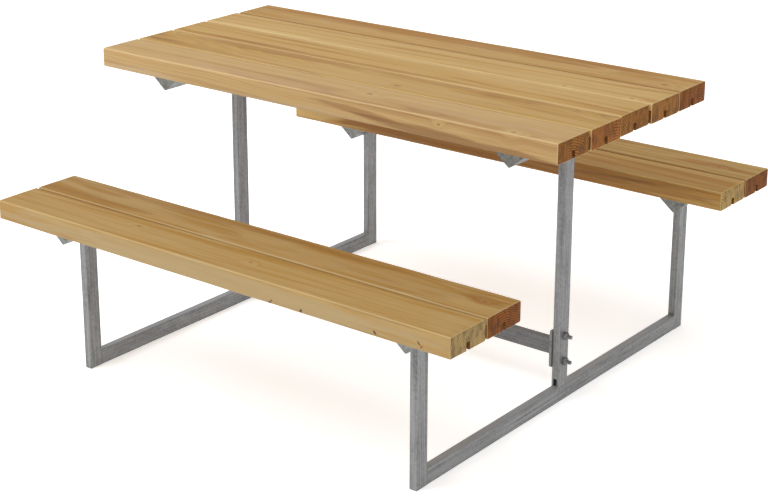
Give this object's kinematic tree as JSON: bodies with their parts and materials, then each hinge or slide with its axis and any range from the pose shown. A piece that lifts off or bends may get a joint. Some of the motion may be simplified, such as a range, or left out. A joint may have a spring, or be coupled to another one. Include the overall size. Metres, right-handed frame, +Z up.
{
  "type": "picnic table",
  "caption": "Picnic table with a plank top, two plank benches and two low H-shaped end frames of galvanised tube joined by one low beam.",
  "frame": {"origin": "on the ground, under the middle of the table top", "axes": "+X along the planks to the right-hand end frame, +Y across the table to the rear bench, +Z up"},
  "size_m": [1.4, 1.422, 0.768],
  "materials": {
    "larch": "planed, oiled, matt",
    "galvanised_tube": "hot-dip galvanised, dull",
    "galvanised_plate": "hot-dip galvanised, dull",
    "zinc_fasteners": "hot-dip galvanised, darkened"
  },
  "bodies": {
    "root": {"table_plank_1": "larch", "table_plank_2": "larch", "table_plank_3": "larch", "table_plank_4": "larch", "table_plank_5": "larch", "front_seat_plank_1": "larch", "front_seat_plank_2": "larch", "rear_seat_plank_1": "larch", "rear_seat_plank_2": "larch", "left_bottom_rail": "galvanised_tube", "left_table_post": "galvanised_tube", "left_front_seat_leg": "galvanised_tube", "left_rear_seat_leg": "galvanised_tube", "left_table_bearer": "galvanised_plate", "left_front_seat_bearer": "galvanised_plate", "left_rear_seat_bearer": "galvanised_plate", "left_table_bearer_caps": "galvanised_plate", "left_front_seat_bearer_caps": "galvanised_plate", "left_rear_seat_bearer_caps": "galvanised_plate", "left_beam_end_plate": "galvanised_plate", "left_beam_bolts": "zinc_fasteners", "left_beam_bolt_washers": "zinc_fasteners", "left_beam_bolt_nuts": "zinc_fasteners", "left_table_screws": "zinc_fasteners", "left_table_screw_washers": "zinc_fasteners", "left_front_seat_screws": "zinc_fasteners", "left_front_seat_screw_washers": "zinc_fasteners", "left_rear_seat_screws": "zinc_fasteners", "left_rear_seat_screw_washers": "zinc_fasteners", "right_bottom_rail": "galvanised_tube", "right_table_post": "galvanised_tube", "right_front_seat_leg": "galvanised_tube", "right_rear_seat_leg": "galvanised_tube", "right_table_bearer": "galvanised_plate", "right_front_seat_bearer": "galvanised_plate", "right_rear_seat_bearer": "galvanised_plate", "right_table_bearer_caps": "galvanised_plate", "right_front_seat_bearer_caps": "galvanised_plate", "right_rear_seat_bearer_caps": "galvanised_plate", "right_beam_end_plate": "galvanised_plate", "right_beam_bolts": "zinc_fasteners", "right_beam_bolt_washers": "zinc_fasteners", "right_beam_bolt_nuts": "zinc_fasteners", "right_table_screws": "zinc_fasteners", "right_table_screw_washers": "zinc_fasteners", "right_front_seat_screws": "zinc_fasteners", "right_front_seat_screw_washers": "zinc_fasteners", "right_rear_seat_screws": "zinc_fasteners", "right_rear_seat_screw_washers": "zinc_fasteners", "long_beam": "galvanised_tube"}
  },
  "joints": []
}
